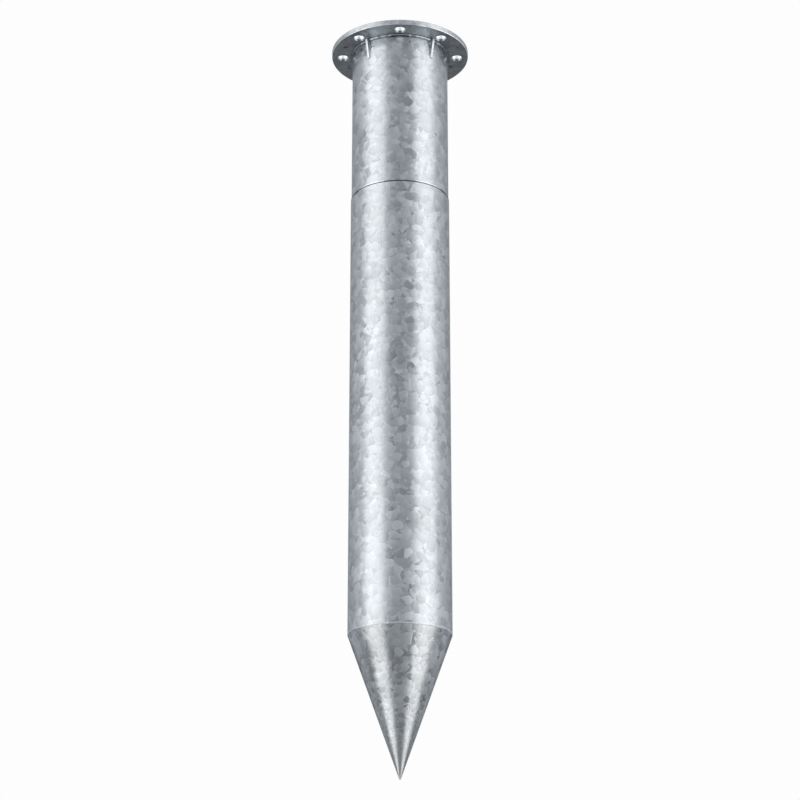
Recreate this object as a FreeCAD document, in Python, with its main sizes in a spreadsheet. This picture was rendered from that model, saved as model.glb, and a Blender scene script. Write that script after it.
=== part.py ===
"""Driven pile: a galvanised steel tube with a hollow conical point and a round bolting flange on its head.

The pile is a weldment. Two lengths of tube meet end to end at a recessed butt weld. A rolled cone with a solid
nose closes the lower length, and a flat ring with eight bolt holes sits on the upper one, stiffened by four
slender ribs. Fillet welds run round the tube between the ribs and down both sides of each rib.

Lengths are millimetres. The pile stands point down with +Z up. The origin is on the axis at the upper end of the
shaft tube, so the shaft and the point lie below it and the head and the flange above it.
"""
import FreeCAD, Part
import os

import Sketcher
from FreeCAD import Placement, Rotation, Vector

# Driving sizes: name, value, what it measures
SIZES = [
    ("tube_od", 219.0, "outside diameter of the shaft tube"),
    ("shaft_wall", 6.0, "wall of the shaft tube"),
    ("shaft_length", 990.0, "length of the shaft tube"),
    ("seam_step", 1.5, "how far the head tube's skin lies inside the shaft tube's"),
    ("head_wall", 6.0, "wall of the head tube"),
    ("head_length", 359.0, "length of the head tube"),
    ("seam_gap", 3.0, "gap between the two tubes, filled by their weld"),
    ("seam_depth", 2.5, "depth of the seam weld below the head tube's skin"),
    ("flange_reach", 47.0, "how far the flange reaches out from the head tube"),
    ("flange_thickness", 12.0, "thickness of the flange plate"),
    ("flange_edge", 1.0, "rounding of both rim edges"),
    ("bolt_inset", 25.0, "distance from the rim to the middle of a bolt hole"),
    ("bolt_hole", 25.0, "diameter of a bolt hole"),
    ("bolt_count", 8, "number of bolt holes"),
    ("rib_turn", 40.0, "angle of a rib from the front or the back of the pile, in degrees"),
    ("rib_leg", 10.0, "length of a rib along the flange"),
    ("rib_height", 45.0, "length of a rib along the tube"),
    ("rib_thickness", 5.0, "thickness of a rib"),
    ("rib_end", 2.5, "height of a rib's blunt end at the flange"),
    ("rib_toe", 1.5, "width of a rib's blunt toe on the tube"),
    ("flange_weld_leg", 5.0, "leg of the fillet between flange and tube"),
    ("rib_weld_leg", 3.0, "leg of a rib's fillet at the flange"),
    ("point_length", 300.0, "length of the driving point"),
    ("point_wall", 6.0, "wall of the cone, across the plate"),
    ("nose_radius", 1.5, "radius of the blunt end of the driving point"),
    ("nose_edge", 1.0, "rounding of the blunt end"),
    ("point_bevel", 2.0, "height of the bevel on each side of the point weld"),
    ("point_lip", 0.6, "how far the point weld carries the tube's skin past the corner"),
    ("root_depth", 1.0, "depth that outlines reach into the tube before they are cut back to its skin"),
]

# Places that more than one piece shares, as formulas of the driving sizes
SHAFT_RADIUS = "(Sizes.tube_od / 2)"
HEAD_RADIUS = f"({SHAFT_RADIUS} - Sizes.seam_step)"
BORE_RADIUS = f"({HEAD_RADIUS} - Sizes.head_wall)"
FLANGE_RADIUS = f"({HEAD_RADIUS} + Sizes.flange_reach)"
FLANGE_UNDERSIDE = "(Sizes.seam_gap + Sizes.head_length)"
ROOT_RADIUS = f"({HEAD_RADIUS} - Sizes.root_depth)"
POINT_SLOPE = f"(({SHAFT_RADIUS} - Sizes.nose_radius) / Sizes.point_length)"
POINT_WALL = f"(Sizes.point_wall * sqrt(1 + {POINT_SLOPE} ^ 2))"
BEVEL_ROOT = f"({SHAFT_RADIUS} - Sizes.point_bevel)"

# Direction of the first bolt hole, at the front of the pile, in degrees about the axis
FRONT = -90.0

doc = FreeCAD.newDocument("DrivenPile")


def make_sheet():
    """Writes the driving sizes into a sheet, each cell under its own name."""
    sheet = doc.addObject("Spreadsheet::Sheet", "Sizes")
    for row, (name, value, meaning) in enumerate(SIZES, start=1):
        sheet.set(f"A{row}", name)
        sheet.set(f"B{row}", str(value))
        sheet.set(f"C{row}", meaning)
        sheet.setAlias(f"B{row}", name)
    doc.recompute()


def new_body(label, height="0", turn=0.0):
    """Starts a piece in its own frame: raised along Z by a formula and turned about Z by an angle."""
    body = doc.addObject("PartDesign::Body", label)
    body.Label = label
    body.Placement = Placement(Vector(0, 0, 0), Rotation(Vector(0, 0, 1), turn))
    body.setExpression("Placement.Base.z", height)
    return body


def new_sketch(body, plane, name, height=None):
    """Lays an empty sketch on one of the piece's own planes, or at a height above it."""
    sketch = body.newObject("Sketcher::SketchObject", name)
    own_planes = [item for item in body.Origin.OriginFeatures if item.Role == plane]
    sketch.AttachmentSupport = (own_planes[0], [""])
    sketch.MapMode = "FlatFace"
    if height is not None:
        sketch.setExpression("AttachmentOffset.Base.z", height)
    return sketch


def rib_direction(number):
    """Gives the angle of a rib: one each side of the front and of the back, counted round the pile."""
    turn = doc.Sizes.rib_turn
    return FRONT + (turn, 180.0 - turn, 180.0 + turn, 360.0 - turn)[number - 1]


def hold(sketch, direction, corner, formula):
    """Holds the first end of an edge at a distance from the sketch's origin."""
    if formula == "0":
        axis_line = -2 if direction == "DistanceX" else -1
        sketch.addConstraint(Sketcher.Constraint("PointOnObject", corner, 1, axis_line))
        return
    number = sketch.addConstraint(Sketcher.Constraint(direction, -1, 1, corner, 1, 1.0))
    sketch.setExpression(f"Constraints[{number}]", formula)


def draw_outline(sketch, corners):
    """Joins corners, each a pair of formulas, by straight edges into one closed outline."""
    count = len(corners)
    rough = [Rotation(Vector(0, 0, 1), 360.0 * i / count).multVec(Vector(1, 0, 0)) for i in range(count)]
    for index in range(count):
        sketch.addGeometry(Part.LineSegment(rough[index], rough[(index + 1) % count]))
    for index, (across, along) in enumerate(corners):
        sketch.addConstraint(Sketcher.Constraint("Coincident", index, 2, (index + 1) % count, 1))
        hold(sketch, "DistanceX", index, across)
        hold(sketch, "DistanceY", index, along)


def draw_circle(sketch, diameter, distance=None):
    """Draws a circle round the origin, or round a point at a distance below it on the sketch's own Y axis."""
    centre = Vector(0, 0, 0) if distance is None else Vector(0, -1, 0)
    circle = sketch.addGeometry(Part.Circle(centre, Vector(0, 0, 1), 1.0))
    size = sketch.addConstraint(Sketcher.Constraint("Diameter", circle, 2.0))
    sketch.setExpression(f"Constraints[{size}]", diameter)
    if distance is None:
        sketch.addConstraint(Sketcher.Constraint("Coincident", circle, 3, -1, 1))
        return
    sketch.addConstraint(Sketcher.Constraint("PointOnObject", circle, 3, -2))
    place = sketch.addConstraint(Sketcher.Constraint("DistanceY", circle, 3, -1, 1, 1.0))
    sketch.setExpression(f"Constraints[{place}]", distance)


def pad(body, sketch, length, both_ways=False):
    """Thickens an outline into a plate or a bar, upward or evenly to both sides."""
    feature = body.newObject("PartDesign::Pad", body.Label + "_pad")
    feature.Profile = sketch
    feature.setExpression("Length", length)
    feature.Midplane = both_ways


def turn(body, sketch, kind="PartDesign::Revolution"):
    """Turns an outline once round the piece's axis, to add material or to cut a groove."""
    feature = body.newObject(kind, body.Label + "_turning")
    feature.Profile = sketch
    feature.ReferenceAxis = (sketch, ["V_Axis"])
    feature.Angle = 360.0
    return feature


def cut_through(body, sketch):
    """Cuts an outline through the whole piece, above and below its sketch."""
    feature = body.newObject("PartDesign::Pocket", body.Label + "_cut")
    feature.Profile = sketch
    feature.Type = "ThroughAll"
    feature.Midplane = True
    doc.recompute()
    return feature


def round_rings(body, base, measure, size):
    """Rounds those round edges of a feature that have the most of a measure, such as the widest."""
    doc.recompute()
    rings = {}
    for number, edge in enumerate(base.Shape.Edges, start=1):
        if isinstance(edge.Curve, Part.Circle):
            rings[f"Edge{number}"] = measure(edge.Curve)
    most = max(rings.values())
    rounding = body.newObject("PartDesign::Fillet", body.Label + "_rounding")
    rounding.Base = (base, [name for name, value in rings.items() if value > most - 1e-6])
    rounding.setExpression("Radius", size)


def cut_to_tube(body):
    """Cuts a piece back to the skin of the head tube."""
    tube = new_sketch(body, "XY_Plane", body.Label + "_tube_skin")
    draw_circle(tube, f"2 * {HEAD_RADIUS}")
    cut_through(body, tube)


def make_flange():
    """A flat ring with a bore as wide as the tube's, eight bolt holes and a softened rim."""
    body = new_body("flange_plate", FLANGE_UNDERSIDE)
    ring = new_sketch(body, "XY_Plane", "flange_ring")
    draw_circle(ring, f"2 * {FLANGE_RADIUS}")
    draw_circle(ring, f"2 * {BORE_RADIUS}")
    pad(body, ring, "Sizes.flange_thickness")
    hole = new_sketch(body, "XY_Plane", "bolt_hole_outline")
    draw_circle(hole, "Sizes.bolt_hole", f"{FLANGE_RADIUS} - Sizes.bolt_inset")
    first_hole = cut_through(body, hole)
    holes = body.newObject("PartDesign::PolarPattern", "bolt_holes")
    holes.Originals = [first_hole]
    holes.Axis = (hole, ["N_Axis"])
    holes.Angle = 360.0
    holes.setExpression("Occurrences", "Sizes.bolt_count")
    body.Tip = holes
    round_rings(body, holes, lambda ring: ring.Radius, "Sizes.flange_edge")


def make_head_tube():
    """The upper tube: square at both ends, its lower edge hanging over the recessed weld."""
    body = new_body("head_tube", "Sizes.seam_gap")
    ring = new_sketch(body, "XY_Plane", "head_section")
    draw_circle(ring, f"2 * {HEAD_RADIUS}")
    draw_circle(ring, f"2 * {BORE_RADIUS}")
    pad(body, ring, "Sizes.head_length")


def make_shaft_tube():
    """The lower tube, turned from its wall section, with the lower edge bevelled for the point weld."""
    body = new_body("shaft_tube", "-Sizes.shaft_length")
    section = new_sketch(body, "XZ_Plane", "shaft_section")
    inner = f"{SHAFT_RADIUS} - Sizes.shaft_wall"
    draw_outline(section, [
        (inner, "0"),
        (BEVEL_ROOT, "0"),
        (SHAFT_RADIUS, "Sizes.point_bevel"),
        (SHAFT_RADIUS, "Sizes.shaft_length"),
        (inner, "Sizes.shaft_length"),
    ])
    turn(body, section)


def make_driving_point():
    """The point: a cone rolled from plate of even wall, whose inside ends short of a solid blunt nose."""
    body = new_body("driving_point", "-Sizes.shaft_length")
    section = new_sketch(body, "XZ_Plane", "point_section")
    hollow_depth = f"Sizes.point_length - ({POINT_WALL} - Sizes.nose_radius) / {POINT_SLOPE}"
    draw_outline(section, [
        (f"{SHAFT_RADIUS} - {POINT_WALL}", "0"),
        ("0", f"-({hollow_depth})"),
        ("0", "-Sizes.point_length"),
        ("Sizes.nose_radius", "-Sizes.point_length"),
        (f"{SHAFT_RADIUS} - Sizes.point_bevel * {POINT_SLOPE}", "-Sizes.point_bevel"),
        (BEVEL_ROOT, "0"),
    ])
    cone = turn(body, section)
    round_rings(body, cone, lambda ring: -ring.Center.z, "min(Sizes.nose_edge; Sizes.nose_radius * 0.9)")


def make_seam_weld():
    """The butt weld between the two tubes, sunk below their skins so that it reads as a dark line."""
    body = new_body("seam_weld")
    ring = new_sketch(body, "XY_Plane", "seam_section")
    draw_circle(ring, f"2 * ({HEAD_RADIUS} - Sizes.seam_depth)")
    draw_circle(ring, f"2 * {BORE_RADIUS}")
    pad(body, ring, "Sizes.seam_gap")


def make_point_weld():
    """The weld in the bevels of tube and point, dressed flush with the tube down to its lower lip."""
    body = new_body("point_weld", "-Sizes.shaft_length")
    section = new_sketch(body, "XZ_Plane", "point_weld_section")
    draw_outline(section, [
        (BEVEL_ROOT, "0"),
        (f"{SHAFT_RADIUS} - Sizes.point_bevel * {POINT_SLOPE}", "-Sizes.point_bevel"),
        (SHAFT_RADIUS, "-Sizes.point_lip"),
        (SHAFT_RADIUS, "Sizes.point_bevel"),
    ])
    turn(body, section)


def make_rib(number):
    """A slender gusset under the flange, its root cut to the round of the tube."""
    body = new_body(f"rib_{number}", FLANGE_UNDERSIDE, rib_direction(number))
    side = new_sketch(body, "XZ_Plane", f"rib_{number}_side")
    draw_outline(side, [
        (ROOT_RADIUS, "0"),
        (f"{HEAD_RADIUS} + Sizes.rib_leg", "0"),
        (f"{HEAD_RADIUS} + Sizes.rib_leg", "-Sizes.rib_end"),
        (f"{HEAD_RADIUS} + Sizes.rib_toe", "-Sizes.rib_height"),
        (ROOT_RADIUS, "-Sizes.rib_height"),
    ])
    pad(body, side, "Sizes.rib_thickness", both_ways=True)
    cut_to_tube(body)


def make_flange_weld(number):
    """One run of fillet weld under the flange, from rib to rib across a side, the back or the front."""
    body = new_body(f"flange_weld_{number}", FLANGE_UNDERSIDE, FRONT + 90.0 * number)
    section = new_sketch(body, "XZ_Plane", f"flange_weld_{number}_section")
    draw_outline(section, [
        (HEAD_RADIUS, "0"),
        (HEAD_RADIUS, "-Sizes.flange_weld_leg"),
        (f"{HEAD_RADIUS} + Sizes.flange_weld_leg", "0"),
    ])
    turn(body, section)
    beyond_ribs = new_sketch(body, "XY_Plane", f"flange_weld_{number}_ends")
    crosses_side = number % 2 == 1
    half_run = "(90 - Sizes.rib_turn)" if crosses_side else "Sizes.rib_turn"
    corner = f"Sizes.rib_thickness / 2 / sin({half_run})"
    outside = f"2 * {FLANGE_RADIUS}"
    along_rib = f"{outside} * cos({half_run})"
    across_rib = f"{outside} * sin({half_run})"
    draw_outline(beyond_ribs, [
        (corner, "0"),
        (f"{corner} + {along_rib}", across_rib),
        (f"-{outside}", across_rib),
        (f"-{outside}", f"-{across_rib}"),
        (f"{corner} + {along_rib}", f"-{across_rib}"),
    ])
    cut_through(body, beyond_ribs)


def make_rib_weld(number, side_name, side):
    """A fillet down one side of a rib, narrowing with the rib and ending on the flange weld's face."""
    label = f"rib_{number}_weld_{side_name}"
    body = new_body(label, FLANGE_UNDERSIDE, rib_direction(number))
    sections = []
    for leg, height in (("Sizes.rib_weld_leg", "0"), ("Sizes.rib_toe", "-Sizes.rib_height")):
        section = new_sketch(body, "XY_Plane", f"{label}_section", height)
        rib_side = f"{side} * Sizes.rib_thickness / 2"
        draw_outline(section, [
            (ROOT_RADIUS, rib_side),
            (f"{HEAD_RADIUS} + {leg}", rib_side),
            (ROOT_RADIUS, f"{rib_side} + {side} * ({leg} + Sizes.root_depth)"),
        ])
        sections.append(section)
    fillet = body.newObject("PartDesign::AdditiveLoft", label + "_loft")
    fillet.Profile = sections[0]
    fillet.Sections = sections[1:]
    fillet.Ruled = True
    doc.recompute()
    cut_to_tube(body)
    flange_weld = new_sketch(body, "XZ_Plane", label + "_top")
    draw_outline(flange_weld, [
        (ROOT_RADIUS, "0"),
        (ROOT_RADIUS, "-Sizes.flange_weld_leg - Sizes.root_depth"),
        (f"{HEAD_RADIUS} + Sizes.flange_weld_leg", "0"),
    ])
    turn(body, flange_weld, "PartDesign::Groove")


def write_pieces():
    """Checks every object of the document and writes each piece to a file of its own name."""
    doc.recompute()
    for item in doc.Objects:
        if "Invalid" in item.State or "Error" in item.State:
            raise RuntimeError(f"{item.Label} did not build: {item.State}")
    os.makedirs("parts", exist_ok=True)
    for body in doc.findObjects("PartDesign::Body"):
        shape = body.Shape
        if shape.isNull() or not shape.isValid() or len(shape.Solids) != 1:
            raise RuntimeError(f"{body.Label} is not one sound solid")
        shape.exportStep(f"parts/{body.Label}.step")
        box = shape.BoundBox
        print(f"{body.Label:20s} {shape.Volume:12.1f} mm3  z {box.ZMin:9.2f} to {box.ZMax:9.2f}")


make_sheet()
make_flange()
make_head_tube()
make_shaft_tube()
make_driving_point()
make_seam_weld()
make_point_weld()
for rib_number in range(1, 5):
    make_rib(rib_number)
    make_flange_weld(rib_number)
    make_rib_weld(rib_number, "left", 1)
    make_rib_weld(rib_number, "right", -1)
write_pieces()
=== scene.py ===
"""Looks of the driven pile: hot-dip zinc with its crystals, rippled weld beads and a plain studio.

Lengths are metres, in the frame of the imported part: +Z up, and the origin on the axis where the
head tube and the shaft tube meet.
"""

import logging
import math
from collections.abc import Mapping, Sequence
from dataclasses import dataclass, field
from enum import Enum
from typing import Any, Protocol

import bpy
import numpy as np
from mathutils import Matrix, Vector

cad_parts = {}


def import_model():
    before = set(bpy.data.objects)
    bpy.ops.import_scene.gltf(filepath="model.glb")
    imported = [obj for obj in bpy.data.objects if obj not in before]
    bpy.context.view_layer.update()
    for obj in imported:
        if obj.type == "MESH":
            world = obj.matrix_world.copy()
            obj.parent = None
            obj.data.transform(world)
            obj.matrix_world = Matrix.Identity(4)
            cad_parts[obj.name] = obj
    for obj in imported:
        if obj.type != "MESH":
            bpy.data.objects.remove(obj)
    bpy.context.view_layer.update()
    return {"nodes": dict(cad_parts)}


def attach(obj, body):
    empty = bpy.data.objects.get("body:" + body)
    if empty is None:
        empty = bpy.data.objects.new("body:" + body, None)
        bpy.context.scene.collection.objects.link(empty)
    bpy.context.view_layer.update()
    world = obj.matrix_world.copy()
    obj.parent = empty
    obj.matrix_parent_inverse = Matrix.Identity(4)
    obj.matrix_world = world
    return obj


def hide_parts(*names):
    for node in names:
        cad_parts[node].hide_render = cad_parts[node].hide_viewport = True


log = logging.getLogger("driven_pile")

Triple = tuple[float, float, float]
Colour = Triple
Array = np.ndarray
Socket = bpy.types.NodeSocket

BODY = "root"

# The plate's underside, the upper edge of the seam's groove, the distances from the middle plane
# between which the tubes are bright, and a length beyond anything here.
UNDERSIDE = 0.362
GROOVE_TOP = 0.003
BRIGHT_BANDS = (0.030, 0.092)
BEYOND = 9.0

# Over how much of a length a sharp change in a skin is smoothed.
EDGE = 0.001
FINE_EDGE = 0.0005

# How steeply a face has to face downward to look down: up to the first number it doesn't count as
# one that does, and from the second it does.
DOWNWARD = (0.6, 0.8)

# What keeps the level part of a vector, and the middle of a random number from 0 to 1.
LEVEL = (1.0, 1.0, 0.0)
MIDDLE = 0.5

# The roughness of all clouds, and how many times over they have finer ones inside them.
CLOUD_ROUGHNESS = 0.55
ONCE, TWICE = 1.0, 2.0

# The colour sockets of the Mix node, by number, because its other kinds carry the same names.
MIX_FIRST, MIX_SECOND, MIX_RESULT = 6, 7, 2


def grey(level: float) -> tuple[float, float, float, float]:
    """A neutral colour of one level."""
    return (level, level, level, 1.0)


def opaque(colour: Colour) -> tuple[float, float, float, float]:
    """A colour with full cover."""
    return (*colour, 1.0)


class Wire:
    """A number that runs through a node tree, used in sums like any number."""

    def __init__(self, nodes: "Nodes", socket: Socket) -> None:
        """Takes the tree that the number belongs to and the socket that gives it."""
        self.nodes = nodes
        self.socket = socket

    def _sum(self, operation: str, *terms: "Wire | float") -> "Wire":
        """One step of arithmetic on the terms, in their order."""
        node = self.nodes.add("ShaderNodeMath", {"operation": operation}, dict(enumerate(terms)))
        return Wire(self.nodes, node.outputs[0])

    def __add__(self, other: "Wire | float") -> "Wire":
        """Sum."""
        return self._sum("ADD", self, other)

    def __radd__(self, other: float) -> "Wire":
        """Sum with a plain number first."""
        return self._sum("ADD", other, self)

    def __sub__(self, other: "Wire | float") -> "Wire":
        """Difference."""
        return self._sum("SUBTRACT", self, other)

    def __rsub__(self, other: float) -> "Wire":
        """Difference from a plain number."""
        return self._sum("SUBTRACT", other, self)

    def __mul__(self, other: "Wire | float") -> "Wire":
        """Product."""
        return self._sum("MULTIPLY", self, other)

    def __rmul__(self, other: float) -> "Wire":
        """Product with a plain number first."""
        return self._sum("MULTIPLY", other, self)

    def __rtruediv__(self, other: float) -> "Wire":
        """A plain number divided by this one."""
        return self._sum("DIVIDE", other, self)

    def larger(self, other: "Wire | float") -> "Wire":
        """The larger of the two numbers."""
        return self._sum("MAXIMUM", self, other)

    def log(self) -> "Wire":
        """The natural logarithm of the number."""
        return self._sum("LOGARITHM", self, math.e)

    def step(self, low: float, high: float) -> "Wire":
        """Rises smoothly from 0 to 1 while the number goes from low to high."""
        inputs = {"Value": self, "From Min": low, "From Max": high}
        node = self.nodes.add("ShaderNodeMapRange", {"interpolation_type": "SMOOTHSTEP"}, inputs)
        return Wire(self.nodes, node.outputs["Result"])


class Nodes:
    """The node tree of one material or of the world."""

    def __init__(self, tree: bpy.types.NodeTree) -> None:
        """Empties the tree."""
        self.tree = tree
        tree.nodes.clear()

    def add(self, kind: str, settings: Mapping[str, Any],
            inputs: Mapping[Any, Any]) -> bpy.types.Node:
        """Adds one node.

        Args:
            kind: Blender's name of the node's type.
            settings: the node's own options, set before its sockets.
            inputs: a value or a link for each socket, by name or number.

        Returns:
            The new node.
        """
        node = self.tree.nodes.new(kind)
        for name, setting in settings.items():
            setattr(node, name, setting)
        for name, value in inputs.items():
            socket = node.inputs[name]
            if isinstance(value, Wire):
                self.tree.links.new(value.socket, socket)
            elif isinstance(value, Socket):
                self.tree.links.new(value, socket)
            else:
                socket.default_value = value
        return node

    def vector(self, operation: str, *terms: Any, scale: Any = None) -> Socket:
        """One step of vector arithmetic.

        Args:
            operation: the step's name, such as ADD.
            terms: vectors or links to vectors, in their order.
            scale: the factor of a SCALE step.

        Returns:
            The resulting vector, or number for a LENGTH or a DOT_PRODUCT.
        """
        inputs = dict(enumerate(terms)) | ({} if scale is None else {"Scale": scale})
        node = self.add("ShaderNodeVectorMath", {"operation": operation}, inputs)
        return node.outputs["Value" if operation in ("LENGTH", "DOT_PRODUCT") else "Vector"]

    def blend(self, share: Any, first: Any, second: Any) -> Socket:
        """Mixes two colours by a share from 0 to 1."""
        inputs = {0: share, MIX_FIRST: first, MIX_SECOND: second}
        return self.add("ShaderNodeMix", {"data_type": "RGBA"}, inputs).outputs[MIX_RESULT]

    def noise(self, place: Socket, breadth: float, detail: float) -> bpy.types.Node:
        """Soft clouds of a breadth in metres, with finer ones inside them."""
        inputs = {"Vector": place, "Scale": 1.0 / breadth, "Detail": detail,
                  "Roughness": CLOUD_ROUGHNESS}
        return self.add("ShaderNodeTexNoise", {"noise_dimensions": "3D"}, inputs)

    def wire(self, socket: Socket) -> Wire:
        """Wraps a socket for sums."""
        return Wire(self, socket)

    def share_of(self, vector: Any, axis: str) -> Wire:
        """One of the three numbers of a vector, named X, Y or Z."""
        return self.wire(self.add("ShaderNodeSeparateXYZ", {}, {0: vector}).outputs[axis])

    def centred(self, colour: Socket) -> Socket:
        """A random colour as a vector round zero."""
        return self.vector("SUBTRACT", colour, (MIDDLE,) * 3)

    def direction(self, colour: Socket) -> Socket:
        """A random colour as a direction."""
        return self.vector("NORMALIZE", self.centred(colour))

    def place(self) -> Socket:
        """Where a point lies on the piece, in metres."""
        return self.add("ShaderNodeTexCoord", {}, {}).outputs["Object"]

    def height(self) -> Wire:
        """How high a point lies, in metres."""
        return self.share_of(self.place(), "Z")

    def from_axis(self) -> Wire:
        """How far a point lies from the pile's axis, in metres."""
        return self.wire(self.vector("LENGTH", self.vector("MULTIPLY", self.place(), LEVEL)))

    def outward(self) -> Socket:
        """The direction that the surface faces."""
        return self.add("ShaderNodeNewGeometry", {}, {}).outputs["Normal"]

    def looks_down(self) -> Wire:
        """Is 1 on a face that looks down and 0 on any other."""
        return (0.0 - self.share_of(self.outward(), "Z")).step(*DOWNWARD)


def new_material(name: str) -> tuple[bpy.types.Material, Nodes]:
    """Makes a material with an empty node tree.

    Args:
        name: the material's name.

    Returns:
        The material and its tree.
    """
    made = bpy.data.materials.new(name)
    made.use_nodes = True
    return made, Nodes(made.node_tree)


def looked_at(nodes: Nodes) -> Wire:
    """Is 1 where something is seen directly and 0 elsewhere."""
    return nodes.wire(nodes.add("ShaderNodeLightPath", {}, {}).outputs["Is Camera Ray"])


def seen(nodes: Nodes) -> Wire:
    """Tells what is seen from what only gives light.

    Args:
        nodes: the tree of a material or of the world.

    Returns:
        1 where something is seen directly, in a reflection or through glass, and 0 elsewhere.
    """
    path = nodes.add("ShaderNodeLightPath", {}, {})
    glossy = nodes.wire(path.outputs["Is Glossy Ray"])
    through = nodes.wire(path.outputs["Is Transmission Ray"])
    return looked_at(nodes).larger(glossy).larger(through)


class Touch(Protocol):
    """Something that makes a part of a zinc skin lighter or darker."""

    def gain(self, nodes: Nodes) -> Wire:
        """The factor by which the skin's colour changes at each point."""


@dataclass(frozen=True)
class StainOrPaintedLight:
    """A spot on a face that looks down, darker than the zinc round it.

    It serves for real stains and for painted shade; with a strength below 0 it is paler, a painted
    reflection. The bays are the breadth of its outline's unevenness. The core is of full strength
    and the rim is where the spot ends, both in halves of its breadth.
    """

    across: float
    depth: float
    breadth: float
    strength: float
    bays: float = 0.006
    core: float = 0.45
    rim: float = 1.2

    def gain(self, nodes: Nodes) -> Wire:
        """Fades out over the spot's breadth, with a ragged outline.

        Args:
            nodes: the material's tree.

        Returns:
            The factor of the colour.
        """
        place = nodes.place()
        apart = nodes.vector("SUBTRACT", place, (self.across, self.depth, 0.0))
        distance = nodes.wire(nodes.vector("LENGTH", nodes.vector("MULTIPLY", apart, LEVEL)))
        ragged = nodes.wire(nodes.noise(place, self.bays, TWICE).outputs["Fac"]) - MIDDLE
        half = self.breadth / 2
        spot = 1.0 - (distance + ragged * half).step(half * self.core, half * self.rim)
        return 1.0 - spot * nodes.looks_down() * self.strength


@dataclass(frozen=True)
class PaintedDownwardShade:
    """Painted shade on downward faces, as a share of the others' tone; above 1, painted light."""

    level: float

    def gain(self, nodes: Nodes) -> Wire:
        """Is the level on those faces and 1 elsewhere."""
        return 1.0 - nodes.looks_down() * (1.0 - self.level)


@dataclass(frozen=True)
class PaintedLightUnderPlate:
    """Painted light on a tube or rib just under a plate, against the plate's dark reflection."""

    top: float
    reach: float
    strength: float

    def gain(self, nodes: Nodes) -> Wire:
        """Grows smoothly over its reach up to its top."""
        return nodes.height().step(self.top - self.reach, self.top) * self.strength + 1.0


@dataclass(frozen=True)
class GrooveShade:
    """Painted shade along the groove of a weld at a tube's lower end."""

    edge: float
    reach: float
    strength: float

    def gain(self, nodes: Nodes) -> Wire:
        """Fades out with the height above the edge."""
        above = nodes.height().step(self.edge, self.edge + self.reach)
        return 1.0 - (1.0 - above) * self.strength


@dataclass(frozen=True)
class PaintedSideShade:
    """Painted shade on a stretch at the pile's left and right, between two heights.

    It lies between an inner and an outer distance from the middle plane. With a strength below 0
    it is painted light instead.
    """

    inner: float
    outer: float
    strength: float
    low: float = -BEYOND
    top: float = BEYOND
    fade: float = 0.008

    def gain(self, nodes: Nodes) -> Wire:
        """Fades inside both distances and ends sharply at both heights.

        Args:
            nodes: the material's tree.

        Returns:
            The factor of the colour.
        """
        place = nodes.place()
        across = nodes.share_of(place, "X")
        aside = across.larger(0.0 - across)
        stretch = aside.step(self.inner, self.inner + self.fade)
        stretch = stretch * (1.0 - aside.step(self.outer - self.fade, self.outer))
        height = nodes.share_of(place, "Z")
        band = height.step(self.low, self.low + FINE_EDGE)
        band = band * (1.0 - height.step(self.top - FINE_EDGE, self.top))
        return 1.0 - stretch * band * self.strength


@dataclass(frozen=True)
class PaintedRimHighlight:
    """A painted highlight along the rounded lower edge of a round plate's rim.

    How steeply the rounding faces downward is a number from 0 to 1. The line comes in while it
    rises through the first pair of numbers and goes out through the second.
    """

    inner: float
    strength: float
    comes_in: tuple[float, float] = (0.15, 0.35)
    goes_out: tuple[float, float] = (0.75, 0.90)

    def gain(self, nodes: Nodes) -> Wire:
        """Is largest where the rounding looks half outward and half down.

        Args:
            nodes: the material's tree.

        Returns:
            The factor of the colour.
        """
        down = 0.0 - nodes.share_of(nodes.outward(), "Z")
        rounding = down.step(*self.comes_in) * (1.0 - down.step(*self.goes_out))
        rim = nodes.from_axis().step(self.inner, self.inner + EDGE)
        return rounding * rim * self.strength + 1.0


@dataclass(frozen=True)
class PaintedHoleLight:
    """The upright walls of the bolt holes, with painted light above, where daylight falls in.

    Below the middle height they are as the rest of the plate, and where they face the front they
    have a dark painted reflection.
    The pairs of numbers say over what squared slope a face counts no longer as upright, and over
    what share of its direction it counts as facing the front.
    """

    inner: float
    outer: float
    middle: float
    bright: float = 1.1
    side: float = 0.05
    painted_dark_notch: float = 0.66
    fade: float = 0.0016
    slope: tuple[float, float] = (0.05, 0.3)
    front: tuple[float, float] = (0.93, 0.99)

    def gain(self, nodes: Nodes) -> Wire:
        """Leaves all but the walls between two distances from the axis as they are.

        Args:
            nodes: the material's tree.

        Returns:
            The factor of the colour.
        """
        outward = nodes.outward()
        upright = nodes.share_of(outward, "Z")
        distance = nodes.from_axis()
        wall = 1.0 - (upright * upright).step(*self.slope)
        wall = wall * distance.step(self.inner, self.inner + EDGE)
        wall = wall * (1.0 - distance.step(self.outer - EDGE, self.outer))
        high = nodes.height().step(self.middle - self.fade, self.middle + self.fade)
        facing = (0.0 - nodes.share_of(outward, "Y")).step(*self.front)
        low = self.side - facing * self.painted_dark_notch
        return wall * (low + (self.bright - low) * high) + 1.0


class Wrap(Enum):
    """How the crystals lie on a surface."""

    PLAIN = "of one size"
    CONE = "as many round a cone at its tip as at its edge, so that they shrink evenly to the tip"


@dataclass(frozen=True)
class Layer:
    """One layer of crystals, some of which cover those of the layers before it.

    The breadth is counted in the skin's crystals, and the shift against the other layers and the
    reach of a crystal from its middle in the layer's own. The bare share of the layer is left out.
    """

    breadth: float
    shift: float = 0.0
    bare: float = 0.0
    reach: float = BEYOND


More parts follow.
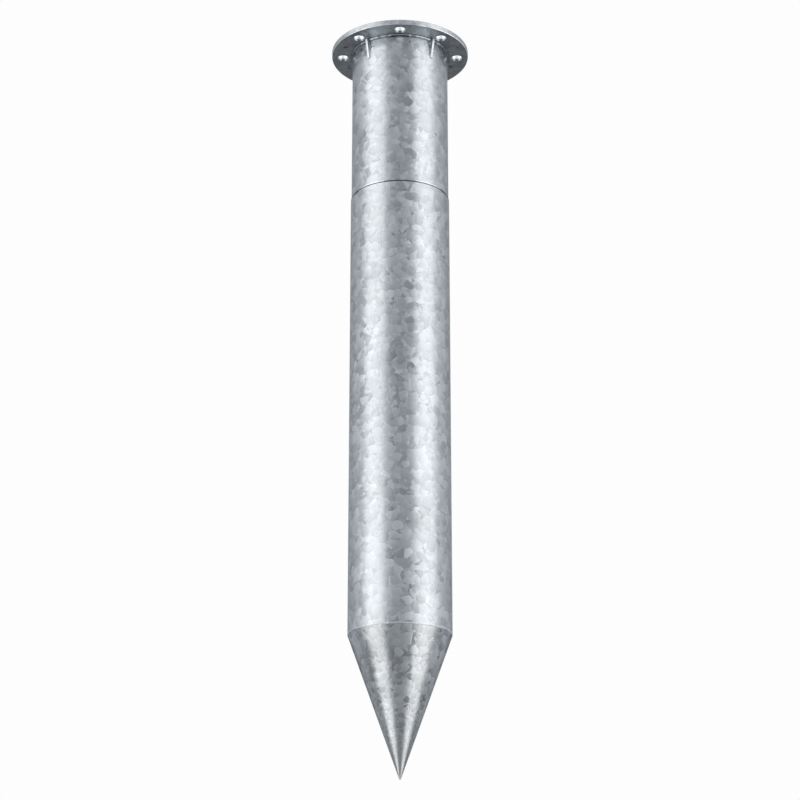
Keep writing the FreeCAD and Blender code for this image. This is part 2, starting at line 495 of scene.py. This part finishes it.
@dataclass(frozen=True)
class Coat:
    """What the zinc of every piece has in common.

    Breadths and depths of the crystals' outlines and lines are counted in crystals, those of the
    clouds and streaks and the depth of the relief in metres. A tone is how much the thing moves
    the colour from the dull to the bright one, and a relief how high it stands.
    """

    layers: tuple[Layer, ...] = (
        Layer(1.0),
        Layer(1.45, shift=7.3, bare=0.55),
        Layer(0.72, shift=33.7, bare=0.70),
        Layer(1.10, shift=21.1, bare=0.62, reach=0.66),
    )
    drift: Triple = (1.0, 1.7, 0.6)
    bays: float = 0.5
    bay_depth: float = 0.18
    line: float = 0.06
    rim: float = 0.08
    rim_edge: float = 0.02
    base_tone: float = 0.11
    clouds: float = 0.11
    cloud_tone: float = 0.40
    streaks: float = 0.0022
    streak_length: float = 0.88
    streak_tone: float = 0.34
    line_tone: float = 0.42
    line_polish: float = 0.80
    matt_by_tone: float = 0.6
    matt_by_polish: float = 0.4
    inside_matt: float = 0.35
    inside_chalk: float = 0.6
    relief: float = 0.0003
    relief_strength: float = 0.35
    line_relief: float = 0.5


@dataclass(frozen=True)
class Zinc:
    """A hot-dip zinc skin: crystals of different tone and lie, clouds of dullness, fine feathering.

    Every crystal is a cell of a Voronoi pattern, and rounder ones grow over the ones below them.
    Each has its own tone, gloss and direction of feathering, and a face that leans a little out of
    the surface, so a highlight breaks up at its edge. Crystals of a lighter tone are duller, and
    the line between two crystals is a little darker or, on a polished one, brighter. Within the
    hollow's radius the zinc is matt and half chalky, as it stays where it drained slowly. Where a
    cone is more slender than the calm radius, its crystals grow alike towards the tip.
    """

    name: str
    dull: Colour = (0.250, 0.274, 0.298)
    bright: Colour = (0.480, 0.524, 0.566)
    crystal: float = 0.0175
    gloss: float = 0.25
    matt: float = 0.45
    lean: float = 0.064
    contrast: float = 0.54
    slope: float = 0.25
    rim_tone: float = 0.50
    hollow: float = 0.0
    wrap: Wrap = Wrap.PLAIN
    wrap_radius: float = 0.090
    wrap_floor: float = 0.010
    wrap_angle: float = 20.0
    calm: float = 0.0
    touches: tuple[Touch, ...] = ()
    coat: Coat = Coat()

    def _spread(self, nodes: Nodes) -> Socket:
        """Gives the coordinates that the crystals follow: the place, or a cone's skin unrolled.

        On a cone the place is pushed out to one radius, and the way along the flank is stretched
        by the same factor at each place. The sum of those stretched steps is the logarithm of the
        radius, divided by the sine of half the angle at the tip.

        Args:
            nodes: the material's tree.

        Returns:
            The coordinates, in metres.
        """
        place = nodes.place()
        if self.wrap is Wrap.PLAIN:
            return place
        level = nodes.vector("MULTIPLY", place, LEVEL)
        radius = nodes.from_axis().larger(self.wrap_floor)
        outward = nodes.vector("SCALE", level, scale=(self.wrap_radius / radius).socket)
        along = radius.log() * (self.wrap_radius / math.sin(math.radians(self.wrap_angle)))
        height = nodes.add("ShaderNodeCombineXYZ", {}, {"Z": along.socket}).outputs[0]
        return nodes.vector("ADD", outward, height)

    def _cells(self, nodes: Nodes, place: Socket, layer: Layer,
               feature: str = "F1") -> tuple[Socket, bpy.types.Node]:
        """Lays one layer of crystals.

        Args:
            nodes: the material's tree.
            place: the coordinates that the crystals follow.
            layer: the layer.
            feature: what the pattern gives: each point's crystal, or its distance from the edge.

        Returns:
            The place counted in crystals, and the pattern's node.
        """
        count = (1.0 / (self.crystal * layer.breadth),) * 3
        shift = tuple(layer.shift * part for part in self.coat.drift)
        grid = nodes.vector("MULTIPLY_ADD", place, count, shift)
        inputs = {"Vector": grid, "Scale": 1.0}
        return grid, nodes.add("ShaderNodeTexVoronoi", {"feature": feature}, inputs)

    def _grown(self, nodes: Nodes, place: Socket) -> tuple[Socket, Wire, Wire]:
        """Grows the crystals in layers: some of each later layer cover the ones below them.

        Args:
            nodes: the material's tree.
            place: the coordinates that the crystals follow.

        Returns:
            The random colour of each point's crystal, a mask of the lines between crystals, and
            how far each point lies to the crystal's light side, in crystals.
        """
        coat = self.coat
        ragged = nodes.centred(nodes.noise(place, self.crystal * coat.bays, ONCE).outputs["Color"])
        place = nodes.vector("MULTIPLY_ADD", ragged, (self.crystal * coat.bay_depth,) * 3, place)
        lie: Socket | None = None
        for layer in coat.layers:
            grid, crystals = self._cells(nodes, place, layer)
            colour = crystals.outputs["Color"]
            edges = self._cells(nodes, place, layer, "DISTANCE_TO_EDGE")[1].outputs["Distance"]
            near_edge = 1.0 - nodes.wire(edges).step(0.0, coat.line / layer.breadth)
            from_middle = nodes.vector("SUBTRACT", grid, crystals.outputs["Position"])
            light_side = nodes.direction(colour)
            towards = nodes.wire(nodes.vector("DOT_PRODUCT", from_middle, light_side))
            if lie is None:
                lie, line, lit = colour, near_edge, towards
                continue
            parts = nodes.add("ShaderNodeSeparateColor", {}, {0: colour})
            chance = nodes.wire(parts.outputs["Blue"])
            distance = nodes.wire(crystals.outputs["Distance"])
            within = layer.reach - coat.rim_edge
            cover = 1.0 - distance.step(within, layer.reach)
            cover = cover * chance.step(layer.bare, layer.bare + EDGE)
            rim = distance.step(layer.reach - coat.rim, within).larger(near_edge)
            lie = nodes.blend(cover.socket, lie, colour)
            line = line + (rim - line) * cover
            lit = lit + (towards - lit) * cover
        return lie, line, lit

    def _feathers(self, nodes: Nodes, place: Socket, lie: Socket) -> Wire:
        """Draws fine streaks, each crystal's along its own direction.

        They are a noise at places that are squeezed along that direction, which draws it out.

        Args:
            nodes: the material's tree.
            place: the coordinates that the crystals follow.
            lie: the random colour of each point's crystal.

        Returns:
            The streaks, from 0 to 1.
        """
        direction = nodes.direction(lie)
        along = nodes.wire(nodes.vector("DOT_PRODUCT", place, direction))
        squeeze = nodes.vector("SCALE", direction, scale=(along * -self.coat.streak_length).socket)
        squeezed = nodes.vector("ADD", place, squeeze)
        return nodes.wire(nodes.noise(squeezed, self.coat.streaks, ONCE).outputs["Fac"])

    def material(self) -> bpy.types.Material:
        """Builds the material.

        Returns:
            The material.
        """
        coat = self.coat
        made, nodes = new_material(self.name)
        place = self._spread(nodes)
        lie, line, lit = self._grown(nodes, place)
        if self.calm > 0.0:
            lively = nodes.from_axis().step(0.0, self.calm)
            lie = nodes.blend(lively.socket, grey(MIDDLE), lie)
            line, lit = line * lively, lit * lively
        parts = nodes.add("ShaderNodeSeparateColor", {}, {0: lie})
        tone, polish = nodes.wire(parts.outputs["Red"]), nodes.wire(parts.outputs["Green"])
        clouds = nodes.wire(nodes.noise(place, coat.clouds, TWICE).outputs["Fac"])
        feathers = self._feathers(nodes, place, lie)

        # lit adds painted light and shade across each crystal, lighter towards its own random side.
        share = (tone - MIDDLE) * self.contrast + lit * self.slope
        share = share + clouds * coat.cloud_tone + feathers * coat.streak_tone + coat.base_tone
        share = share - line * (coat.line_tone - polish * coat.line_polish)
        colour = nodes.blend(share.socket, opaque(self.dull), opaque(self.bright))
        for touch in self.touches:
            colour = nodes.vector("SCALE", colour, scale=touch.gain(nodes).socket)

        span = self.matt - self.gloss
        rough = tone * (coat.matt_by_tone * span) + polish * (coat.matt_by_polish * span)
        rough = rough + self.gloss
        metal: Wire | float = 1.0
        if self.hollow > 0.0:
            inside = 1.0 - nodes.from_axis().step(self.hollow, self.hollow + FINE_EDGE)
            rough = rough + inside * coat.inside_matt
            metal = 1.0 - inside * coat.inside_chalk

        lean = (self.lean,) * 3
        leaning = nodes.vector("MULTIPLY_ADD", nodes.centred(lie), lean, nodes.outward())
        bump = nodes.add("ShaderNodeBump", {}, {
            "Strength": coat.relief_strength,
            "Distance": coat.relief,
            "Height": (feathers - line * coat.line_relief).socket,
            "Normal": nodes.vector("NORMALIZE", leaning),
        })
        shader = nodes.add("ShaderNodeBsdfPrincipled", {}, {
            "Base Color": colour,
            "Metallic": metal,
            "Roughness": rough.socket,
            "Specular Tint": grey(self.rim_tone),
            "Normal": bump.outputs[0],
        })
        nodes.add("ShaderNodeOutputMaterial", {}, {"Surface": shader.outputs[0]})
        return made


@dataclass(frozen=True)
class Paper:
    """A dull floor that looks pale where it is seen directly, and fades into the white far out.

    The fading shows in the metal too. The paleness is a thin white veil over the paper, which
    keeps the shadows.
    """

    name: str
    colour: Colour
    white: float
    roughness: float = 0.9
    veil: float = 0.58
    fade_from: float = 17.0
    fade_to: float = 42.0

    def material(self) -> bpy.types.Material:
        """Builds the material.

        Returns:
            The material.
        """
        made, nodes = new_material(self.name)
        far = nodes.from_axis().step(self.fade_from, self.fade_to)
        paper = nodes.add("ShaderNodeBsdfPrincipled", {}, {
            "Base Color": opaque(self.colour), "Roughness": self.roughness})
        white = nodes.add("ShaderNodeEmission", {}, {"Color": grey(self.white), "Strength": 1.0})
        share = (far * seen(nodes)).larger(looked_at(nodes) * self.veil)
        both = nodes.add("ShaderNodeMixShader", {}, {
            0: share.socket, 1: paper.outputs[0], 2: white.outputs[0]})
        nodes.add("ShaderNodeOutputMaterial", {}, {"Surface": both.outputs[0]})
        return made


@dataclass(frozen=True)
class Glow:
    """An evenly lit wall of the studio."""

    name: str
    level: float

    def material(self) -> bpy.types.Material:
        """Builds the material.

        Returns:
            The material.
        """
        made, nodes = new_material(self.name)
        shader = nodes.add("ShaderNodeEmission", {}, {"Color": grey(self.level), "Strength": 1.0})
        nodes.add("ShaderNodeOutputMaterial", {}, {"Surface": shader.outputs[0]})
        return made


def new_piece(name: str, points: Array, faces: Sequence[Sequence[int]],
              material: bpy.types.Material, smooth: bool = True) -> bpy.types.Object:
    """Makes an object at the origin from points and faces.

    Args:
        name: the object's name.
        points: an array of points, three numbers each.
        faces: the corners of each face, as point numbers.
        material: the finish of the whole piece.
        smooth: whether the faces are shaded as one round surface.

    Returns:
        The new object, in the scene.
    """
    mesh = bpy.data.meshes.new(name)
    mesh.from_pydata(points.reshape(-1, 3), [], faces)
    mesh.polygons.foreach_set("use_smooth", np.full(len(mesh.polygons), smooth))
    mesh.materials.append(material)
    mesh.update()
    piece = bpy.data.objects.new(name, mesh)
    bpy.context.scene.collection.objects.link(piece)
    return piece


@dataclass(frozen=True)
class Bead:
    """A fillet weld laid along the corner of two plates: a convex bead with ripples.

    At each place along the corner the section is a straight line from one toe to the other,
    bulged outward by a half wave of a sine. The ripples are a wave along the corner that lags
    behind in the middle of the bead, as the pool of a weld does, and the legs waver by a sum of
    slow waves. Where a bead begins, turned into radians, sets how far on its waves start.

    The bulge and the waver are shares of the leg, the lag is in radians, and each of the waves
    has a length and how many times over it takes that start.
    """

    bulge: float = 0.20
    ripple: float = 0.00007
    pitch: float = 0.0065
    lag: float = 2.2
    waver: float = 0.14
    waves: tuple[tuple[float, float], ...] = ((0.031, 1.0), (0.0173, 2.3))
    radians_along: Triple = (310.0, 170.0, 90.0)
    rows: int = 13

    def section_grid(self, corner: Array, first: Array, second: Array, leg: Array) -> Array:
        """Works out the points of a bead.

        Args:
            corner: the points of the corner, one row each.
            first: the unit direction from the corner along the one plate, one row for each point.
            second: the same along the other plate.
            leg: the length of the legs at each point.

        Returns:
            A grid of points: along the corner, then across the bead from toe to toe with the
            corner itself last.
        """
        steps = np.linalg.norm(np.diff(corner, axis=0), axis=1)
        travel = np.concatenate(([0.0], np.cumsum(steps)))
        start = float(corner[0] @ np.array(self.radians_along))
        waver = sum(np.sin(travel * 2 * math.pi / length + start * times)
                    for length, times in self.waves)
        uneven = leg * (1.0 + self.waver / 2 * waver)
        across = np.linspace(0.0, 1.0, self.rows)
        rise = np.sin(math.pi * across)[None, :]
        ripples = np.sin(travel[:, None] * 2 * math.pi / self.pitch + self.lag * rise + start)
        outward = (first + second) / math.sqrt(2.0)
        height = uneven[:, None] * self.bulge * rise + self.ripple * ripples * rise
        face = (corner[:, None, :]
                + first[:, None, :] * (uneven[:, None] * (1.0 - across))[:, :, None]
                + second[:, None, :] * (uneven[:, None] * across)[:, :, None]
                + outward[:, None, :] * height[:, :, None])
        return np.concatenate((face, corner[:, None, :]), axis=1)

    def faces(self, long: int) -> list[list[int]]:
        """Joins the grid into a closed skin.

        Args:
            long: the number of sections along the corner.

        Returns:
            Bands of four-cornered faces round the sections, and a cap at each end.
        """
        wide = self.rows + 1
        along, round_ = np.meshgrid(np.arange(long - 1), np.arange(wide), indexing="ij")
        here, beside = along * wide + round_, along * wide + (round_ + 1) % wide
        sides = np.stack((here, beside, beside + wide, here + wide), axis=-1).reshape(-1, 4)
        caps = [list(range(wide))[::-1], list(range((long - 1) * wide, long * wide))]
        return sides.tolist() + caps


@dataclass
class Studio:
    """The plain studio: a pale floor, two tall soft panels, the room's dim side and a white world.

    Angles are degrees and the sensor's width millimetres. The eye is where the camera stands.
    """

    eye: Triple = (0.0, -4.535, -2.120)
    upward: float = 20.003
    picture_angle: float = 20.28
    sensor_width: float = 36.0
    floor_height: float = -4.2
    floor_reach: float = 60.0
    floor_level: float = 0.46
    room_half_width: float = 4.0
    room_distance: float = 7.0
    room_top: float = 7.0
    room_level: float = 0.63
    panel_turn: float = 60.5
    panel_distance: float = 3.0
    panel_width: float = 2.6
    panel_low: float = -4.1
    panel_high: float = 3.1
    panel_level: float = 1.64
    panel_tint: Colour = (1.0, 0.938, 0.880)
    white: float = 0.984
    fill_level: float = 0.45

    def camera(self) -> None:
        """Sets the camera where the photograph was taken from: below the flange and looking up."""
        lens = bpy.data.cameras.new("photograph")
        lens.sensor_width = self.sensor_width
        lens.lens = lens.sensor_width / 2 / math.tan(math.radians(self.picture_angle / 2))
        camera = bpy.data.objects.new("photograph", lens)
        camera.location = self.eye
        camera.rotation_euler = (math.radians(90.0 + self.upward), 0.0, 0.0)
        bpy.context.scene.collection.objects.link(camera)
        bpy.context.scene.camera = camera

    def _sheet(self, name: str, corners: Sequence[Sequence[float]],
               material: bpy.types.Material) -> bpy.types.Object:
        """Lays one flat four-cornered sheet that isn't part of the pile.

        Args:
            name: the object's name.
            corners: its four corners in turn.
            material: its finish.

        Returns:
            The sheet.
        """
        sheet = new_piece(name, np.array(corners, float), [[0, 1, 2, 3]], material, smooth=False)
        return sheet

    def floor(self) -> None:
        """Lays the floor, well below the point."""
        r, z = self.floor_reach, self.floor_height
        corners = ((-r, -r, z), (r, -r, z), (r, r, z), (-r, r, z))
        paper = Paper("pale_floor", (self.floor_level,) * 3, self.white)
        self._sheet("floor", corners, paper.material())

    def room(self) -> None:
        """Puts up the studio's dim side behind the camera, which shows as the tubes' dark band."""
        x, y, low, top = self.room_half_width, -self.room_distance, self.floor_height, self.room_top
        corners = ((-x, y, low), (-x, y, top), (x, y, top), (x, y, low))
        wall = self._sheet("room_side", corners, Glow("dim_room", self.room_level).material())
        wall.visible_camera = False

    def panels(self) -> None:
        """Stands a tall soft panel on each side, which show as the tubes' two bright bands."""
        height = self.panel_high - self.panel_low
        for name, side in (("left_panel", -1.0), ("right_panel", 1.0)):
            lamp = bpy.data.lights.new(name, "AREA")
            lamp.shape = "RECTANGLE"
            lamp.size, lamp.size_y = self.panel_width, height
            lamp.color = self.panel_tint
            lamp.energy = self.panel_level * math.pi * self.panel_width * height
            panel = bpy.data.objects.new(name, lamp)
            turn = math.radians(self.panel_turn)
            place = Vector((side * math.sin(turn), -math.cos(turn), 0.0)) * self.panel_distance
            panel.rotation_euler = (-place).to_track_quat("-Z", "Y").to_euler()
            panel.location = place + Vector((0.0, 0.0, (self.panel_high + self.panel_low) / 2))
            panel.visible_camera = False
            bpy.context.scene.collection.objects.link(panel)

    def background(self) -> None:
        """Makes the world white where it is seen, also in the metal, and an even fill elsewhere."""
        world = bpy.data.worlds.new("studio")
        world.use_nodes = True
        nodes = Nodes(world.node_tree)
        fill, white = (
            nodes.add("ShaderNodeBackground", {}, {"Color": grey(level), "Strength": 1.0})
            for level in (self.fill_level, self.white))
        both = nodes.add("ShaderNodeMixShader", {}, {
            0: seen(nodes).socket, 1: fill.outputs[0], 2: white.outputs[0]})
        nodes.add("ShaderNodeOutputWorld", {}, {"Surface": both.outputs[0]})
        bpy.context.scene.world = world

    def build(self) -> None:
        """Sets up the whole studio."""
        bpy.context.scene.view_settings.view_transform = "Standard"
        self.camera()
        self.floor()
        self.room()
        self.panels()
        self.background()


def flange_touches() -> tuple[Touch, ...]:
    """The flange's painted light and shade on rim, hole walls and underside, and its real stains.
    """
    return (
        # Painted light: the downward faces a little paler.
        PaintedDownwardShade(1.02),
        # Painted light and a dark painted reflection on the bolt holes' walls.
        PaintedHoleLight(inner=0.112, outer=0.150, middle=0.3675),
        # A painted highlight on the rim's lower edge.
        PaintedRimHighlight(inner=0.152, strength=0.85),
        # Real stains: the dark spots on the underside.
        StainOrPaintedLight(-0.123, -0.050, breadth=0.012, strength=0.65),
        StainOrPaintedLight(0.130, -0.049, breadth=0.008, strength=0.50),
        StainOrPaintedLight(-0.117, 0.048, breadth=0.010, strength=0.50),
        StainOrPaintedLight(0.117, 0.040, breadth=0.011, strength=0.50),
        # Painted shade at the front by the tube; painted reflections of the bright bands beside it.
        StainOrPaintedLight(0.0, -0.112, breadth=0.022, strength=0.45),
        StainOrPaintedLight(-0.072, -0.120, breadth=0.045, strength=-0.28),
        StainOrPaintedLight(0.072, -0.120, breadth=0.045, strength=-0.36),
    )


def pile_skins() -> dict[str, Zinc]:
    """The zinc of each kind of piece: of one node, or of the ribs, welds and flange beads."""
    return {
        "flange_plate": Zinc(
            "zinc_of_flange", crystal=0.012, gloss=0.33, matt=0.48, contrast=0.40, hollow=0.1025,
            touches=flange_touches()),
        "head_tube": Zinc(
            "zinc_of_head", hollow=0.104, touches=(
                # Painted light on the tube's top, under the plate.
                PaintedLightUnderPlate(UNDERSIDE, reach=0.050, strength=0.80),
                # Painted shade on the head tube's lower end, fading out 6 mm up, to thicken the
                # seam's line.
                GrooveShade(GROOVE_TOP, reach=0.003, strength=0.34),
                # Painted light on the lower end in the bright bands, taking the groove's painted
                # shade off.
                PaintedSideShade(*BRIGHT_BANDS, strength=-0.75, top=0.0055),
            )),
        "shaft_tube": Zinc(
            "zinc_of_shaft", hollow=0.1055,
            # Painted shade on the shaft's top at the far sides, where the seam's line runs to the
            # outline.
            touches=(PaintedSideShade(0.086, 0.2, strength=0.55, low=-0.003),)),
        "driving_point": Zinc(
            "zinc_of_point", dull=(0.248, 0.272, 0.298), bright=(0.570, 0.621, 0.670),
            crystal=0.0165, gloss=0.22, matt=0.37, lean=0.050, contrast=0.50, rim_tone=0.30,
            wrap=Wrap.CONE, calm=0.055),
        # Paler than the tubes' zinc, and paler still under the plate: painted light on the ribs.
        "rib": Zinc(
            "zinc_of_ribs", dull=(0.35, 0.376, 0.402), bright=(0.56, 0.604, 0.648),
            crystal=0.012, gloss=0.34, matt=0.48,
            touches=(PaintedLightUnderPlate(UNDERSIDE, reach=0.040, strength=0.45),)),
        # Nearly black: painted shade in the seam's groove, with painted light in the bright bands.
        "seam_weld": Zinc(
            "zinc_of_seam", dull=(0.04, 0.044, 0.048), bright=(0.30, 0.33, 0.36),
            crystal=0.009, contrast=0.7, touches=(PaintedSideShade(*BRIGHT_BANDS, strength=-0.8),)),
        # Paler than the point's zinc: a painted highlight along the point's weld.
        "point_weld": Zinc(
            "zinc_of_point_weld", dull=(0.31, 0.34, 0.37), bright=(0.56, 0.60, 0.64),
            crystal=0.008, gloss=0.36, matt=0.50, rim_tone=0.7),
        # Paler than the tubes' zinc: partly a painted highlight on the rib beads.
        "weld": Zinc(
            "zinc_of_welds", dull=(0.36, 0.39, 0.42), bright=(0.68, 0.73, 0.78), crystal=0.008),
        # Dark, partly painted shade under the plate, with more painted shade at the front.
        "flange_bead": Zinc(
            "zinc_of_flange_beads", dull=(0.105, 0.116, 0.130), bright=(0.49, 0.539, 0.590),
            crystal=0.006, gloss=0.20, matt=0.34, lean=0.015, contrast=0.15, slope=0.10,
            rim_tone=0.25, touches=(StainOrPaintedLight(0.0, -0.112, breadth=0.065, strength=0.85),)),
    }


@dataclass
class Weldment:
    """The plates and tubes of the pile, each with its zinc skin, and the beads that join them."""

    skins: dict[str, Zinc] = field(default_factory=pile_skins)
    head_radius: float = 0.108
    underside: float = UNDERSIDE
    rib_turn: float = 40.0
    rib_half: float = 0.0025
    rib_bottom: float = 0.317
    flange_leg: float = 0.0045
    flange_sections: int = 241
    rib_top_leg: float = 0.003
    rib_toe_leg: float = 0.0015
    rib_sections: int = 61
    bead: Bead = Bead()

    def _rib_angles(self) -> Array:
        """The directions of the four ribs in radians, in the order of their nodes."""
        turn = self.rib_turn
        return np.radians(np.array((turn, 180.0 - turn, 180.0 + turn, 360.0 - turn)) - 90.0)

    def _lay(self, name: str, node: str, grid: Array, material: bpy.types.Material) -> None:
        """Puts a bead in the place of the plain fillet of a node.

        Args:
            name: the bead's name.
            node: the node that it stands for.
            grid: its points, section by section.
            material: its finish.
        """
        piece = new_piece(name, grid, self.bead.faces(len(grid)), material)
        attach(piece, BODY)
        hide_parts(node)
        log.info("%s stands for %s", name, node)

    def flange_beads(self, material: bpy.types.Material) -> None:
        """Lays the four runs under the flange, each along an arc of the tube from rib to rib.

        Args:
            material: their finish.
        """
        angles = self._rib_angles()
        gap = math.asin(self.rib_half / self.head_radius)
        ends = np.append(angles[1:], angles[0] + 2 * math.pi)
        for number, (low, high) in enumerate(zip(angles + gap, ends - gap), start=1):
            turn = np.linspace(low, high, self.flange_sections)
            outward = np.stack((np.cos(turn), np.sin(turn), np.zeros_like(turn)), axis=-1)
            corner = outward * self.head_radius + np.array((0.0, 0.0, self.underside))
            down = np.broadcast_to((0.0, 0.0, -1.0), corner.shape)
            legs = np.full(len(turn), self.flange_leg)
            grid = self.bead.section_grid(corner, outward, down, legs)
            self._lay(f"flange_bead_{number}", f"flange_weld_{number}", grid, material)

    def rib_beads(self, material: bpy.types.Material) -> None:
        """Lays a run down each side of each rib, down the tube and narrowing with the rib.

        Args:
            material: their finish.
        """
        height = np.linspace(self.underside - self.flange_leg, self.rib_bottom, self.rib_sections)
        share = (self.underside - height) / (self.underside - self.rib_bottom)
        leg = self.rib_top_leg + (self.rib_toe_leg - self.rib_top_leg) * share
        depth = math.sqrt(self.head_radius ** 2 - self.rib_half ** 2)
        level = np.zeros_like(height)
        for number, angle in enumerate(self._rib_angles(), start=1):
            outward = np.array((math.cos(angle), math.sin(angle), 0.0))
            for side_name, side in (("left", 1.0), ("right", -1.0)):
                aside = np.array((-outward[1], outward[0], 0.0)) * side
                foot = outward * depth + aside * self.rib_half
                corner = foot + np.stack((level, level, height), axis=-1)
                first = np.broadcast_to(outward, corner.shape)
                second = np.broadcast_to(aside, corner.shape)
                grid = self.bead.section_grid(corner, first, second, leg)
                grid = grid[::-1] if side > 0 else grid
                bead, node = f"rib_{number}_bead_{side_name}", f"rib_{number}_weld_{side_name}"
                self._lay(bead, node, grid, material)

    def dress(self, nodes: Mapping[str, bpy.types.Object]) -> None:
        """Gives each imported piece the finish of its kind, and lays the beads.

        Args:
            nodes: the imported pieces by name.
        """
        ready = {kind: skin.material() for kind, skin in self.skins.items()}
        for name, piece in nodes.items():
            kind = name if name in ready else "weld" if "weld" in name else "rib"
            for slot in piece.material_slots:
                slot.material = ready[kind]
            log.info("%s wears %s", name, ready[kind].name)
        self.flange_beads(ready["flange_bead"])
        self.rib_beads(ready["weld"])


def main() -> None:
    """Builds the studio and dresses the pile."""
    logging.basicConfig(level=logging.INFO, format="%(name)s: %(message)s")
    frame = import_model()
    Studio().build()
    Weldment().dress(frame["nodes"])


if __name__ == "__main__":
    main()
